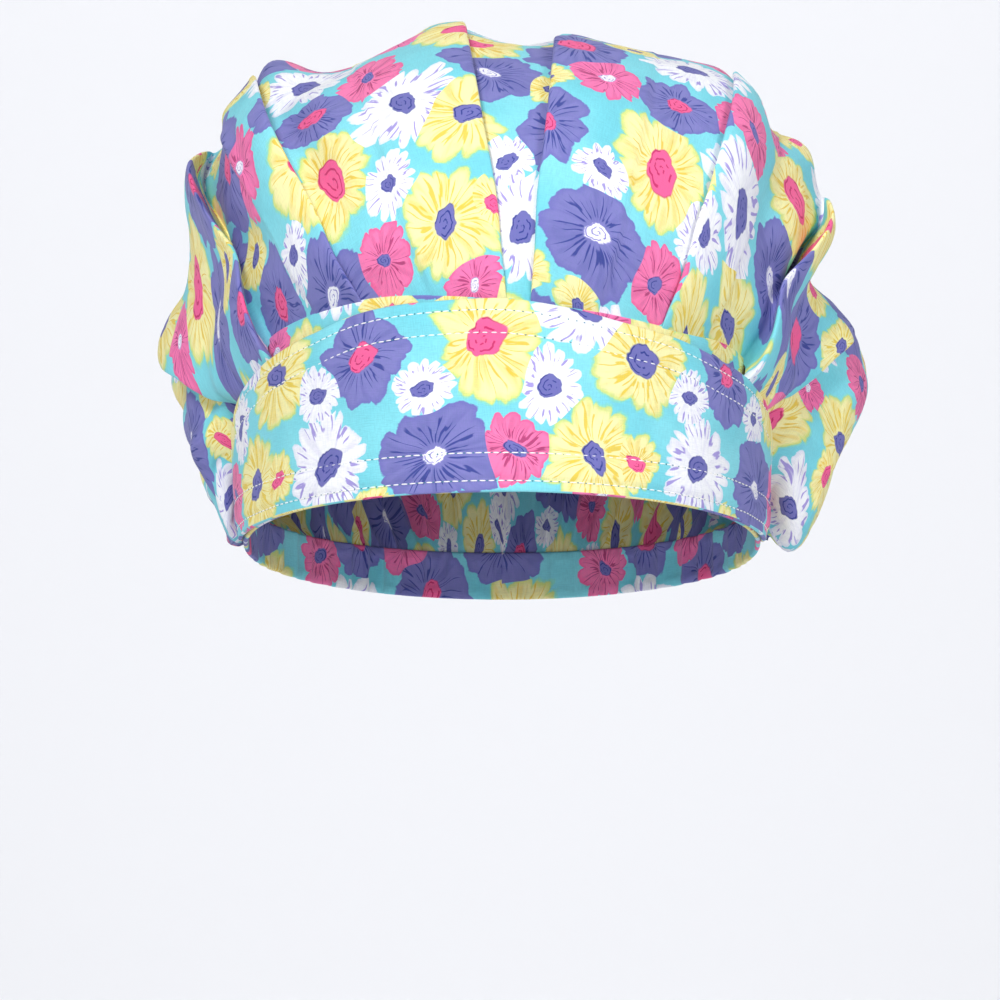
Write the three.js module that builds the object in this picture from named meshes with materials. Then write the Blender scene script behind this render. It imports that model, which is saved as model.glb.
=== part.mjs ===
// A bouffant surgical scrub cap of printed cotton in the shape it has when worn.
// Millimetres, +Z up. The front faces -Y, and +X is to the right of someone looking at the front.
// The origin is the centre of the head opening. Angles go round the head from the front, plus to the right.
import * as THREE from 'three';

// Head opening
const headHalfWidth = 80;
const headHalfDepth = 97;
const rimTilt = 10.5; // degrees: the rim stands higher at the forehead than at the nape

// Cloth
const crownWall = 1.1;
const bandWall = 1.5;
const brimWall = 2.0;
const seamGap = 0.5; // clear space between two pieces that are sewn together

// Heights of the sewn pieces above the rim
const bandHeight = 56.5;
const brimHeight = 55.8;
const brimLean = 1.6; // the turned-up brim stands off the band by this much at its top edge
const brimReach = 91; // degrees from the front to each end of the brim

// Crown
const crownHalfWidth = 112;
const crownHeight = 166;
const crownBulge = 34; // how far the bag stands out behind the nape
const crestShare = 0.47; // where each rib passes its highest point, from the front seam to the back one
const bagFullness = 0.82; // 1 gives round ribs, less gives fuller ones
const seamRoll = 3; // how far the bag rolls out from its seam before it rises or hangs
const foldGap = 0.9; // width, along the cloth, of the step at a pleat
const puckerDepth = 3; // ripple of the gathered cloth at the back seam
const puckerCount = 15;

// Gathers in the elastic stretch of the band, behind the ears
const gatherDepth = 0.9;
const gatherCount = 22;
const gatherStart = 104;

const bandColor = 0x66d3dc;
const crownColor = 0x6cd8e2;
const brimColor = 0x70dde6;

// How high the crown's seam runs, as shares of the band's height
const seamTable = [
  { angle: -180, rise: 0.26 },
  { angle: -110, rise: 0.24 },
  { angle: -100, rise: 0.22 },
  { angle: -94, rise: 0.27 },
  { angle: -88, rise: 0.46 },
  { angle: -82, rise: 0.7 },
  { angle: -74, rise: 0.88 },
  { angle: -62, rise: 0.985 },
  { angle: -45, rise: 1.03 },
  { angle: -28, rise: 1.05 },
  { angle: 0, rise: 1.0 },
  { angle: 20, rise: 0.955 },
  { angle: 40, rise: 0.925 },
  { angle: 60, rise: 0.93 },
  { angle: 72, rise: 0.87 },
  { angle: 82, rise: 0.72 },
  { angle: 88, rise: 0.46 },
  { angle: 94, rise: 0.27 },
  { angle: 100, rise: 0.22 },
  { angle: 110, rise: 0.24 },
  { angle: 180, rise: 0.26 },
];

// The brim's free edge, as shares of its height, on each side of the front
const brimTable = [
  { angle: -91, rise: 0.06 },
  { angle: -87, rise: 0.42 },
  { angle: -81, rise: 0.655 },
  { angle: -71, rise: 0.755 },
  { angle: -57, rise: 0.84 },
  { angle: -41, rise: 0.915 },
  { angle: -31, rise: 0.97 },
  { angle: -18, rise: 0.995 },
  { angle: 0, rise: 1.0 },
  { angle: 12, rise: 0.965 },
  { angle: 24, rise: 0.915 },
  { angle: 38, rise: 0.872 },
  { angle: 51, rise: 0.81 },
  { angle: 65, rise: 0.765 },
  { angle: 77, rise: 0.7 },
  { angle: 86, rise: 0.46 },
  { angle: 91, rise: 0.06 },
];

// Ribs of the crown from the left ear to the right one. Each starts on the front seam, passes a crest
// and ends on the back seam. The first and last run along the band over the ears, where the hanging
// cloth is turned back up to its seam. front and back are angles, side is a share of crownHalfWidth, top a share
// of crownHeight and deep a share of headHalfDepth. lift, in shares of crownHeight, is how far a pleat's
// free edge stands over the cloth beside it: plus where the cloth on the right lies on top.
const ribTable = [
  { front: -92, back: -101, side: -0.73, top: 0.088, deep: 0.112, lift: 0 },
  { front: -90, back: -104, side: -0.755, top: 0.015, deep: 0.1, lift: 0 },
  { front: -87, back: -110, side: -0.84, top: 0.115, deep: 0.17, lift: 0 },
  { front: -84, back: -117, side: -0.895, top: 0.235, deep: 0.22, lift: 0 },
  { front: -80, back: -125, side: -0.928, top: 0.365, deep: 0.24, lift: 0.03 },
  { front: -70, back: -133, side: -0.87, top: 0.585, deep: 0.2, lift: 0 },
  { front: -57, back: -142, side: -0.795, top: 0.745, deep: 0.12, lift: -0.035 },
  { front: -44, back: -151, side: -0.765, top: 0.8, deep: 0.08, lift: 0 },
  { front: -31, back: -160, side: -0.7, top: 0.85, deep: 0.05, lift: -0.034 },
  { front: -15, back: -168, side: -0.42, top: 0.91, deep: 0.05, lift: 0 },
  { front: 1, back: -176, side: -0.13, top: 0.975, deep: 0.05, lift: -0.028 },
  { front: 6, back: 176, side: 0.17, top: 0.955, deep: 0.05, lift: 0.028 },
  { front: 20, back: 168, side: 0.42, top: 0.93, deep: 0.05, lift: 0 },
  { front: 36, back: 160, side: 0.665, top: 0.88, deep: 0.05, lift: 0.034 },
  { front: 49, back: 151, side: 0.75, top: 0.78, deep: 0.08, lift: 0 },
  { front: 62, back: 142, side: 0.875, top: 0.66, deep: 0.12, lift: 0.035 },
  { front: 72, back: 133, side: 0.86, top: 0.54, deep: 0.2, lift: 0 },
  { front: 81, back: 125, side: 0.965, top: 0.425, deep: 0.24, lift: -0.03 },
  { front: 85, back: 117, side: 1.0, top: 0.305, deep: 0.24, lift: 0 },
  { front: 88, back: 110, side: 0.935, top: 0.14, deep: 0.18, lift: 0 },
  { front: 90, back: 104, side: 0.82, top: 0.0, deep: 0.1, lift: 0 },
  { front: 92, back: 101, side: 0.73, top: 0.088, deep: 0.112, lift: 0 },
];

// Puffs and dents of the bag. rib and back say where, in ribs from the left and in shares from the front
// seam to the back one; wide and long say how far it spreads; rise is a share of crownHeight.
const puffTable = [
  { rib: 8.3, back: 0.46, wide: 0.27, long: 0.1, rise: 0.055 },
  { rib: 6.55, back: 0.46, wide: 0.25, long: 0.1, rise: -0.014 },
  { rib: 4.65, back: 0.45, wide: 0.2, long: 0.16, rise: -0.014 },
  { rib: 5.5, back: 0.4, wide: 0.35, long: 0.14, rise: 0.016 },
  { rib: 3.7, back: 0.4, wide: 0.35, long: 0.1, rise: -0.018 },
  { rib: 3, back: 0.32, wide: 0.3, long: 0.12, rise: 0.016 },
  { rib: 13.55, back: 0.46, wide: 0.2, long: 0.12, rise: -0.02 },
  { rib: 14.35, back: 0.44, wide: 0.42, long: 0.12, rise: 0.04 },
  { rib: 12.6, back: 0.5, wide: 0.6, long: 0.1, rise: 0.01 },
  { rib: 16.1, back: 0.42, wide: 0.35, long: 0.14, rise: -0.016 },
  { rib: 18, back: 0.42, wide: 0.55, long: 0.14, rise: 0.02 },
  { rib: 10.6, back: 0.62, wide: 1.4, long: 0.1, rise: 0.016 },
  { rib: 7.4, back: 0.7, wide: 0.8, long: 0.12, rise: 0.02 },
  { rib: 13.8, back: 0.72, wide: 0.8, long: 0.12, rise: 0.02 },
  { rib: 9.6, back: 0.78, wide: 0.5, long: 0.14, rise: -0.02 },
  { rib: 12.2, back: 0.8, wide: 0.5, long: 0.12, rise: -0.018 },
];

// Grid steps
const stepsPerRib = 3;
const crownRows = 30;
const brimColumns = 44;
const brimRows = 5;
const bandColumns = 132;
const bandRows = 2;

const radians = THREE.MathUtils.degToRad;
const lerp = THREE.MathUtils.lerp;
const smooth = THREE.MathUtils.smoothstep;

// A smooth curve through one column of a table, read at a place given in rows from the first one.
function readRows(table, column, place) {
  const row = Math.min(Math.max(Math.floor(place), 0), table.length - 2);
  const t = place - row;
  const value = (index) => table[Math.min(Math.max(index, 0), table.length - 1)][column];
  const [before, start, end, after] = [value(row - 1), value(row), value(row + 1), value(row + 2)];
  const slopeStart = (end - before) / 2;
  const slopeEnd = (after - start) / 2;
  return start * (1 + 2 * t) * (1 - t) ** 2 + slopeStart * t * (1 - t) ** 2
    + end * t * t * (3 - 2 * t) + slopeEnd * t * t * (t - 1);
}

// The same, read at an angle.
function readAngle(table, column, angle) {
  const last = table.length - 1;
  const held = Math.min(Math.max(angle, table[0].angle), table[last].angle);
  let row = 0;
  while (row < last - 1 && held > table[row + 1].angle) row += 1;
  const share = (held - table[row].angle) / (table[row + 1].angle - table[row].angle);
  return readRows(table, column, row + share);
}

const rimRise = (angle) => headHalfDepth * Math.cos(radians(angle)) * Math.tan(radians(rimTilt));
const fromFront = (angle) => ((angle + 540) % 360) - 180;
const seamRise = (angle) => bandHeight * readAngle(seamTable, 'rise', fromFront(angle));
const brimRise = (angle) => brimHeight * readAngle(brimTable, 'rise', angle);

// A point round the head, some way out from it and above the rim.
function headPoint(angle, out, rise) {
  return new THREE.Vector3(
    (headHalfWidth + out) * Math.sin(radians(angle)),
    -(headHalfDepth + out) * Math.cos(radians(angle)),
    rimRise(angle) + rise,
  );
}

function headNormal(angle) {
  return new THREE.Vector3(
    Math.sin(radians(angle)) / headHalfWidth,
    -Math.cos(radians(angle)) / headHalfDepth,
    0,
  ).normalize();
}

// A closed body between an outer and an inner grid of points, whose rows run the same way.
function shell(outer, inner, closed) {
  const rows = outer.length;
  const columns = outer[0].length;
  const positions = [...outer, ...inner].flatMap((row) => row.flatMap((point) => point.toArray()));
  const faces = [];
  const at = (layer, row, column) => (layer * rows + row) * columns + (column % columns);
  const quad = (a, b, c, d) => faces.push(a, b, c, a, c, d);
  const spans = closed ? columns : columns - 1;
  for (let row = 0; row < rows - 1; row += 1) {
    for (let column = 0; column < spans; column += 1) {
      quad(at(0, row, column), at(0, row, column + 1), at(0, row + 1, column + 1), at(0, row + 1, column));
      quad(at(1, row, column), at(1, row + 1, column), at(1, row + 1, column + 1), at(1, row, column + 1));
    }
  }
  for (let column = 0; column < spans; column += 1) {
    quad(at(0, 0, column), at(1, 0, column), at(1, 0, column + 1), at(0, 0, column + 1));
    const top = rows - 1;
    quad(at(0, top, column), at(0, top, column + 1), at(1, top, column + 1), at(1, top, column));
  }
  for (let row = 0; row < rows - 1 && !closed; row += 1) {
    quad(at(0, row, 0), at(0, row + 1, 0), at(1, row + 1, 0), at(1, row, 0));
    const end = columns - 1;
    quad(at(0, row, end), at(1, row, end), at(1, row + 1, end), at(0, row + 1, end));
  }
  const geometry = new THREE.BufferGeometry();
  geometry.setAttribute('position', new THREE.Float32BufferAttribute(positions, 3));
  geometry.setIndex(faces);
  geometry.computeVertexNormals();
  return geometry;
}

// The band round the head, deep at the forehead and gathered by its elastic behind the ears.
function bandGeometry() {
  const grid = (out) => Array.from({ length: bandRows + 1 }, (_, row) => (
    Array.from({ length: bandColumns }, (__, column) => {
      const angle = (column / bandColumns) * 360 - 180;
      const behind = smooth(Math.abs(angle), gatherStart, gatherStart + 12);
      const ripple = behind * gatherDepth * Math.cos(radians(angle) * 2 * gatherCount);
      return headPoint(angle, out + ripple, seamRise(angle) * (row / bandRows));
    })
  ));
  return shell(grid(bandWall), grid(0), true);
}

// The brim turned up over the front of the band, from ear to ear.
function brimGeometry() {
  const start = bandWall + seamGap;
  const grid = (wall) => Array.from({ length: brimRows + 1 }, (_, row) => (
    Array.from({ length: brimColumns + 1 }, (__, column) => {
      const share = row / brimRows;
      const angle = lerp(-brimReach, brimReach, column / brimColumns);
      const lean = brimLean * share * (brimRise(angle) / brimHeight);
      return headPoint(angle, start + wall + lean, brimRise(angle) * share);
    })
  ));
  return shell(grid(brimWall), grid(0), false);
}

// The bag's smooth shape, before pleats: a place along the ribs, and a share from front seam to back.
function bagPoint(place, share) {
  const column = (name) => readRows(ribTable, name, place);
  const seamPoint = (angle) => headPoint(angle, bandWall / 2, seamRise(angle) + seamGap);
  const crest = new THREE.Vector3(
    column('side') * crownHalfWidth,
    column('deep') * headHalfDepth,
    column('top') * crownHeight,
  );
  const behind = share > crestShare;
  const turn = behind ? (1 - share) / (1 - crestShare) : share / crestShare;
  const seamAngle = behind ? backAngle(place) : column('front');
  const seam = seamPoint(seamAngle);
  const climb = Math.sin((turn * Math.PI) / 2) ** bagFullness;
  const reach = Math.cos((turn * Math.PI) / 2) ** bagFullness;
  const point = seam.clone().lerp(crest, climb);
  const bulge = behind ? crownBulge * Math.sin(turn * Math.PI) * bagShare(place) : 0;
  point.y = lerp(crest.y, seam.y, reach) + bulge;
  if (crest.z < seam.z) point.z = lerp(seam.z, crest.z, climb * smooth(turn, 0.06, 0.4));
  const roll = seamRoll * smooth(turn, 0, 0.12) * (1 - smooth(turn, 0.4, 1));
  return point.addScaledVector(headNormal(seamAngle), roll);
}

// The bag stands out behind most at its middle and hardly at the ears.
const bagShare = (place) => Math.sin((place / (ribTable.length - 1)) * Math.PI) ** 0.6;

// 0 on the first rib and the last one, and 1 from the ribs beside them on.
const awayFromEnds = (place) => smooth(Math.min(place, ribTable.length - 1 - place), 0, 1);

// The back seam is left of the nape for ribs on the left and right of it for ribs on the right.
function backAngle(place) {
  const rows = ribTable.map((row) => ({ turn: row.back < 0 ? row.back : row.back - 360 }));
  return readRows(rows, 'turn', place);
}

// The outward direction of the bag, level where it starts at the seams.
function bagNormal(place, share) {
  const step = 0.02;
  const across = bagPoint(Math.min(place + step, ribTable.length - 1), share)
    .sub(bagPoint(Math.max(place - step, 0), share));
  const along = bagPoint(place, Math.min(share + step, 1)).sub(bagPoint(place, Math.max(share - step, 0)));
  const normal = across.cross(along).normalize();
  const nearest = share < 0.5 ? readRows(ribTable, 'front', place) : backAngle(place);
  const level = smooth(Math.min(share, 1 - share), 0, 0.07);
  return headNormal(nearest).lerp(normal, level).normalize();
}

// How far the pleated and puffed cloth stands out of the bag's smooth shape.
function clothRise(place, share) {
  const open = 0.35 + 0.65 * smooth(share, 0.03, crestShare * 0.8);
  const shut = 1 - smooth(share, 0.5, 0.74);
  let rise = 0;
  ribTable.forEach((rib, index) => {
    const away = (place - index) * Math.sign(rib.lift);
    if (rib.lift !== 0 && away > 0) rise += Math.abs(rib.lift) * Math.exp(-away * 1.5) * open * shut;
  });
  puffTable.forEach((puff) => {
    const across = (place - puff.rib) / puff.wide;
    const along = (share - puff.back) / puff.long;
    rise += puff.rise * Math.exp(-(across ** 2) - along ** 2);
  });
  const ends = smooth(share, 0, 0.035) * (1 - smooth(share, 0.94, 1));
  const gathered = smooth(share, 0.62, 0.9);
  const turn = (place / (ribTable.length - 1)) * Math.PI * 2 * puckerCount;
  const ripple = gathered * puckerDepth * (1 + Math.cos(turn)) / 2;
  return ends * awayFromEnds(place) * (rise * crownHeight + ripple);
}

// The columns of the crown's grid: even steps between ribs, and two close together at each pleat.
function crownPlaces() {
  const places = [];
  const step = foldGap / crownHalfWidth;
  for (let rib = 0; rib < ribTable.length - 1; rib += 1) {
    const start = ribTable[rib].lift === 0 ? rib : rib + step * 2;
    const end = ribTable[rib + 1].lift === 0 ? rib + 1 : rib + 1 - step * 2;
    const last = ribTable[rib + 1].lift === 0 && rib < ribTable.length - 2 ? stepsPerRib - 1 : stepsPerRib;
    for (let part = 0; part <= last; part += 1) places.push(lerp(start, end, part / stepsPerRib));
  }
  return places;
}

// The pleated bag, from the front seam over the top to the back seam.
function crownGeometry() {
  const places = crownPlaces();
  const outer = [];
  const inner = [];
  for (let row = 0; row <= crownRows; row += 1) {
    const share = row / crownRows;
    const rises = places.map((place) => clothRise(place, share));
    const spots = places.map((place) => bagPoint(place, share));
    const normals = places.map((place) => bagNormal(place, share));
    outer.push(spots.map((spot, i) => spot.clone().addScaledVector(normals[i], rises[i] + crownWall / 2)));
    inner.push(spots.map((spot, i) => {
      const lowest = Math.min(rises[Math.max(i - 1, 0)], rises[i], rises[Math.min(i + 1, rises.length - 1)]);
      return spot.clone().addScaledVector(normals[i], lowest - crownWall / 2);
    }));
  }
  return shell(outer, inner, false);
}

const clothMaterial = (color) => new THREE.MeshStandardMaterial({ color, roughness: 0.85, metalness: 0 });

function piece(name, geometry, color) {
  const mesh = new THREE.Mesh(geometry, clothMaterial(color));
  mesh.name = name;
  return mesh;
}

const cap = new THREE.Group();
cap.add(piece('headband', bandGeometry(), bandColor));
cap.add(piece('brim', brimGeometry(), brimColor));
cap.add(piece('crown', crownGeometry(), crownColor));

export default cap;
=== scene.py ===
# Looks for a bouffant scrub cap of printed cotton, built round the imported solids.
# Metres, +Z up, front to -Y.
# Lengths in the settings are in millimetres unless a note says otherwise.
import math

import bmesh
import bpy
import numpy as np
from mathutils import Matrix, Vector, noise


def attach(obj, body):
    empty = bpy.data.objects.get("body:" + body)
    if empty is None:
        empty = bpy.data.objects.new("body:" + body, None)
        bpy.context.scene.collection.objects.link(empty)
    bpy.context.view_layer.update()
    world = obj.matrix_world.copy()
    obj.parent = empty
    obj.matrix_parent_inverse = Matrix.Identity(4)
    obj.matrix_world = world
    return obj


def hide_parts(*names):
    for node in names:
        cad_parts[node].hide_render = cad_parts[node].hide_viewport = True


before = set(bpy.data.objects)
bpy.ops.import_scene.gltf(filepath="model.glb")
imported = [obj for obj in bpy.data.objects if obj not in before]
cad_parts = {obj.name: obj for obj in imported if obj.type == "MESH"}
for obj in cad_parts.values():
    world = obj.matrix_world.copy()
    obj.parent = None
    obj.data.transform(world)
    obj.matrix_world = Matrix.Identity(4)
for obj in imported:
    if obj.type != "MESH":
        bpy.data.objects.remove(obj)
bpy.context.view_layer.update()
mm = 0.001


# Numbers and curves

def smooth(x, low, high):
    t = np.clip((np.asarray(x, float) - low) / (high - low), 0, 1)
    return t * t * (3 - 2 * t)


def mix(a, b, t):
    return a + (b - a) * t


# A smooth curve through a column of values, read at a place in rows from the first.
def readRows(values, place):
    values, place = np.asarray(values, float), np.asarray(place, float)
    row = np.clip(np.floor(place).astype(int), 0, len(values) - 2)
    t = place - row

    def at(index):
        return values[np.clip(index, 0, len(values) - 1)]

    before, start, end, after = at(row - 1), at(row), at(row + 1), at(row + 2)
    slopeStart, slopeEnd = (end - before) / 2, (after - start) / 2
    return (start * (1 + 2 * t) * (1 - t) ** 2 + slopeStart * t * (1 - t) ** 2
            + end * t * t * (3 - 2 * t) + slopeEnd * t * t * (t - 1))


def readAngle(table, angle):
    angles = np.array([row[0] for row in table], float)
    held = np.clip(angle, angles[0], angles[-1])
    place = np.interp(held, angles, np.arange(len(angles)))
    return readRows([row[1] for row in table], place)


def unit(vectors):
    return vectors / np.maximum(np.linalg.norm(vectors, axis=-1, keepdims=True), 1e-9)


# The head opening, which every piece is built round

head = dict(halfWidth=80, halfDepth=97, middleRadius=88, tilt=10.5, bandHeight=56.5, brimHeight=55.8)

# angle from the front, height of the crown's seam as a share of the band's height
seamTable = [
    (-180, 0.26), (-110, 0.24), (-100, 0.22), (-94, 0.27), (-88, 0.46), (-82, 0.7), (-74, 0.88),
    (-62, 0.985), (-45, 1.03), (-28, 1.05), (0, 1.0), (20, 0.955), (40, 0.925), (60, 0.93), (72, 0.87),
    (82, 0.72), (88, 0.46), (94, 0.27), (100, 0.22), (110, 0.24), (180, 0.26),
]
# angle, height of the brim's free edge as a share of its full height
brimTable = [
    (-91, 0.06), (-87, 0.42), (-81, 0.655), (-71, 0.755), (-57, 0.84), (-41, 0.915), (-31, 0.97),
    (-18, 0.995), (0, 1.0), (12, 0.965), (24, 0.915), (38, 0.872), (51, 0.81), (65, 0.765), (77, 0.7),
    (86, 0.46), (91, 0.06),
]


def rimRise(angle):
    return head["halfDepth"] * np.cos(np.radians(angle)) * math.tan(math.radians(head["tilt"]))


def seamRise(angle):
    wrapped = (np.asarray(angle, float) + 540) % 360 - 180
    return head["bandHeight"] * readAngle(seamTable, wrapped)


def brimRise(angle):
    return head["brimHeight"] * readAngle(brimTable, angle)


band = dict(
    wall=1.5, columns=900, faceRows=16, gathers=62, gatherDepth=2.4, gatherStart=98,
    stitchedRows=(0.12, 0.86), press=0.35, pressWidth=0.07,
)


# How far the elastic pushes the band in and out behind the ears.
def bandRipple(angle):
    wrapped = (np.asarray(angle, float) + 540) % 360 - 180
    turn = np.radians(wrapped)
    behind = smooth(np.abs(wrapped), band["gatherStart"], band["gatherStart"] + 14)
    wander = 0.9 * np.sin(turn * 3 + 1) + 0.7 * np.sin(turn * 7) + 0.4 * np.sin(turn * 17)
    hills = 1 - np.abs(np.sin(turn * band["gathers"] / 2 + wander)) ** 0.8
    return behind * band["gatherDepth"] * (0.75 + 0.25 * np.sin(turn * 5 + 2)) * (0.7 - hills)


def headPoint(angle, out, rise):
    turn = np.radians(angle)
    angle, out, rise = np.broadcast_arrays(np.asarray(angle, float), out, rise)
    return np.stack([
        (head["halfWidth"] + out) * np.sin(turn),
        -(head["halfDepth"] + out) * np.cos(turn),
        rimRise(angle) + rise,
    ], axis=-1)


def headNormal(angle):
    turn = np.radians(angle)
    return unit(np.stack([
        np.sin(turn) / head["halfWidth"], -np.cos(turn) / head["halfDepth"], np.zeros_like(turn)
    ], axis=-1))


# Meshes

# A mesh from rows of points in millimetres, with a UV map in metres of cloth.
def gridMesh(name, points, uv, loopRows=False, loopColumns=False):
    rows, columns = points.shape[:2]
    r = np.arange(rows if loopRows else rows - 1)
    c = np.arange(columns if loopColumns else columns - 1)
    r, c = [index.ravel() for index in np.meshgrid(r, c, indexing="ij")]
    nextRow, nextColumn = (r + 1) % rows, (c + 1) % columns
    faces = np.stack([
        r * columns + c, r * columns + nextColumn, nextRow * columns + nextColumn, nextRow * columns + c
    ], axis=1)
    mesh = bpy.data.meshes.new(name)
    mesh.from_pydata((points.reshape(-1, 3) * mm).tolist(), [], faces.tolist())
    # uv has one more row or column than the points where the mesh closes on itself
    uvRow = np.stack([r, r, r + 1, r + 1], axis=1)
    uvColumn = np.stack([c, c + 1, c + 1, c], axis=1)
    layer = mesh.uv_layers.new(name="cloth")
    layer.data.foreach_set("uv", (uv[uvRow, uvColumn] * mm).astype(np.float32).ravel())
    mesh.shade_smooth()
    piece = bpy.data.objects.new(name, mesh)
    bpy.context.scene.collection.objects.link(piece)
    return piece


# Smooth noise from -1 to 1 at each point.
def crumple(points, scale, seed):
    offset = Vector((seed * 17.3, seed * 5.1, seed * 9.7))
    flat = points.reshape(-1, 3) / scale
    values = [noise.noise(Vector(p) + offset) for p in flat.tolist()]
    return np.array(values).reshape(points.shape[:-1])


# The view, the floor and the lights

view = dict(distance=1500, height=15, side=-0.6, lens=170.96, sensor=36)
camera = bpy.data.objects.new("camera", bpy.data.cameras.new("camera"))
camera.location = (view["side"] * mm, -view["distance"] * mm, view["height"] * mm)
camera.rotation_euler = (math.radians(90), 0, 0)
camera.data.lens = view["lens"]
camera.data.sensor_width = view["sensor"]
bpy.context.scene.collection.objects.link(camera)
bpy.context.scene.camera = camera
bpy.context.scene.view_settings.view_transform = "Standard"


# An sRGB hex colour as linear red, green, blue, alpha.
def linear(code):
    parts = [int(code[i:i + 2], 16) / 255 for i in (1, 3, 5)]
    return [c / 12.92 if c <= 0.04045 else ((c + 0.055) / 1.055) ** 2.4 for c in parts] + [1.0]


# A wide pale floor that curves up far away, so no edge of it shows, under a faint even sky.
stage = dict(
    height=-420, radius=4200, rise=3200, bend=1500, bendSteps=12,
    color="#C5C6CA", glowColor="#F6F6F7", glow=0.225, skyColor="#F2F6FA", sky=0.08,
)


# Drawn as the circle of its rim, which is extruded down and inwards in steps and then filled.
def makeFloor():
    bpy.ops.object.select_all(action="DESELECT")
    bpy.ops.mesh.primitive_circle_add(vertices=96, radius=stage["radius"] * mm,
                                      location=(0, 0, (stage["height"] + stage["rise"]) * mm))
    floor = bpy.context.object
    floor.name = floor.data.name = "floor"
    bpy.ops.object.transform_apply(location=True)
    bpy.ops.object.mode_set(mode="EDIT")
    bpy.ops.mesh.select_all(action="SELECT")
    radius, height = stage["radius"], stage["rise"]
    for turn in np.linspace(math.pi / 2, 0, stage["bendSteps"] + 1):
        newRadius = stage["radius"] - stage["bend"] * (1 - math.sin(turn))
        newHeight = stage["bend"] * (1 - math.cos(turn))
        bpy.ops.mesh.extrude_region_move(TRANSFORM_OT_translate={"value": (0, 0, (newHeight - height) * mm)})
        bpy.ops.transform.resize(value=(newRadius / radius, newRadius / radius, 1))
        radius, height = newRadius, newHeight
    bpy.ops.mesh.edge_face_add()
    bpy.ops.object.mode_set(mode="OBJECT")
    bpy.ops.object.shade_smooth()
    material = bpy.data.materials.new("pale paint")
    material.use_nodes = True
    shader = material.node_tree.nodes["Principled BSDF"]
    shader.inputs["Base Color"].default_value = linear(stage["color"])
    shader.inputs["Roughness"].default_value = 0.9  # matt wall paint
    # a little light of its own keeps the backdrop even from every side
    shader.inputs["Emission Color"].default_value = linear(stage["glowColor"])
    shader.inputs["Emission Strength"].default_value = stage["glow"]
    floor.data.materials.append(material)


# Soft round lights: name, place and what it points at in metres, width in metres, watts, colour
lightTable = [
    ("key", (-0.8, -2.2, 1.4), (0, 0, 0.06), 0.7, 49, "#FFFFFF"),
    ("fill", (1.5, -1.9, 0.8), (0, 0, 0.06), 0.9, 22, "#FCFCFF"),
    ("top", (0.1, 0.4, 2.1), (0, 0, 0.06), 1.0, 8, "#FFFFFF"),
    ("backdrop", (0, 1.9, 1.6), (0, 4.2, 0.2), 1.6, 48, "#FFFFFF"),
]


def makeLight(name, place, target, size, power, color):
    light = bpy.data.lights.new(name, "AREA")
    light.shape = "DISK"
    light.size, light.energy, light.color = size, power, linear(color)[:3]
    holder = bpy.data.objects.new(name, light)
    holder.location = place
    holder.rotation_euler = (Vector(target) - Vector(place)).to_track_quat("-Z", "Y").to_euler()
    bpy.context.scene.collection.objects.link(holder)


makeFloor()
for light in lightTable:
    makeLight(*light)
world = bpy.data.worlds.new("studio")
world.use_nodes = True
world.node_tree.nodes["Background"].inputs["Color"].default_value = linear(stage["skyColor"])
world.node_tree.nodes["Background"].inputs["Strength"].default_value = stage["sky"]
bpy.context.scene.world = world
print("stage ready")


# Printed cotton

# The print repeats over a tile. Each motif: across, up, half width, half height, kind.
tile = dict(width=124, height=118)
motifTable = [
    (16, 19, 18.5, 16.4, 0), (51, 12, 17.2, 18.6, 3), (87, 22, 17.4, 15.8, 4), (116, 51, 15.2, 17.4, 1),
    (31, 52, 15.6, 17.6, 4), (69, 51, 18.8, 16.2, 2), (8, 82, 17.6, 15.8, 1), (45, 82, 14.2, 15.8, 3),
    (84, 85, 16.4, 18.4, 0), (114, 97, 17.8, 16.2, 4), (23, 111, 17.2, 14.8, 2), (61, 111, 12.0, 13.4, 5),
    (69, 30, 8.8, 10.0, 1), (107, 2, 11.2, 12.6, 6), (118, 29, 10.4, 9.2, 5), (92, 53, 10.4, 11.8, 6),
    (48, 34, 10.4, 9.2, 0), (27, 73, 9.0, 9.8, 4), (65, 72, 9.8, 8.4, 4), (102, 72, 9.6, 10.6, 4),
    (42, 104, 9.6, 8.6, 1), (85, 113, 14.0, 12.4, 3), (6, 51, 9.4, 8.6, 0),
]
# Kinds: petal, line, edge, centre, ring inside the centre, petals, notch depth, wash amount, centre radius,
# lines round the flower, their width, and where they start and end as shares of the radius
kindTable = [
    ("#FBF4B0", "#E9C53A", "#D6E280", "#F6629A", "#CB2D6A", 13, 0.15, 0.5, 0.34, 26, 0.2, 0.3, 0.9),
    ("#FAF3B1", "#EACB40", "#D2E184", "#7371B6", "#353B8C", 12, 0.16, 0.5, 0.27, 24, 0.22, 0.25, 0.92),
    ("#807EC0", "#343D8E", "#7472BA", "#F6F5FC", "#8D87CE", 9, 0.09, 0.25, 0.2, 26, 0.17, 0.2, 0.78),
    ("#8280C2", "#353E90", "#7573BB", "#F6629A", "#C72A68", 8, 0.1, 0.25, 0.28, 25, 0.17, 0.25, 0.8),
    ("#FAFBFE", "#9C8CD8", "#E8ECF9", "#7270B6", "#363C8E", 15, 0.24, 0.2, 0.3, 21, 0.26, 0.5, 0.97),
    ("#FA7CB5", "#B03A72", "#F0609C", "#F5F2FB", "#8A80C6", 10, 0.15, 0.3, 0.19, 21, 0.16, 0.18, 0.84),
    ("#F97DB2", "#AE386F", "#F0609A", "#7371B8", "#32388A", 11, 0.15, 0.3, 0.22, 22, 0.16, 0.2, 0.82),
]


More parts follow.
